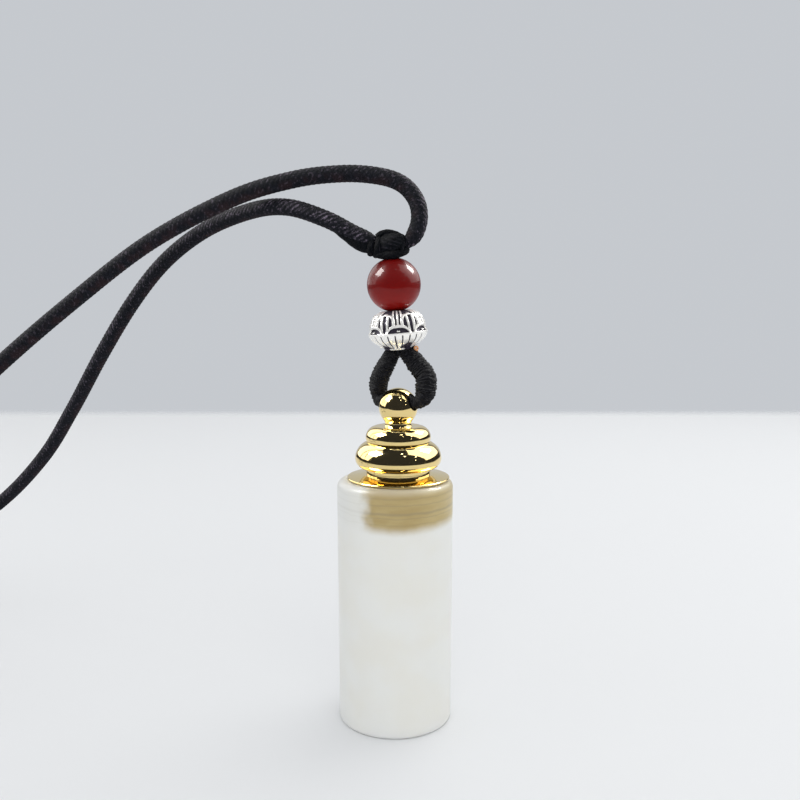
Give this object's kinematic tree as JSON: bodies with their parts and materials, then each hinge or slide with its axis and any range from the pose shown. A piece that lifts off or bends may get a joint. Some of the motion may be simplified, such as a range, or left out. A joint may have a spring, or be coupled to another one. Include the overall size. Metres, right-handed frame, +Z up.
{
  "type": "bottle pendant",
  "caption": "Small stone bottle pendant with a turned gold-coloured collar and stepped cap, a thread-wrapped loop, a silver bead, a red bead, a knot and a black neck cord.",
  "frame": {"origin": "middle of the underside of the stone, on the surface it stands on", "axes": "+Z up along the stone, -Y towards the camera, -X towards the side where the neck cord lies"},
  "size_m": [0.1772, 0.0611, 0.0862],
  "materials": {
    "milky_stone": "polished milky stone with a tan band at the top",
    "gold_metal": "polished gold-coloured brass",
    "black_thread": "tight black thread wrapping",
    "silver": "polished silver, darkened in the grooves",
    "red_stone": "polished translucent red stone",
    "black_braid": "braided black cord"
  },
  "bodies": {
    "bottle": {"stone_bottle": "milky_stone", "collar": "gold_metal"},
    "cap_and_cord": {"cap": "gold_metal", "hanging_loop": "black_thread", "silver_bead": "silver", "red_bead": "red_stone", "cord_knot": "black_braid", "neck_cord": "black_braid"}
  },
  "joints": [
    {"name": "cap_lift", "type": "slide", "parent": "bottle", "child": "cap_and_cord", "axis": [0, 0, 1], "range_m": [0, 0.016]}
  ]
}
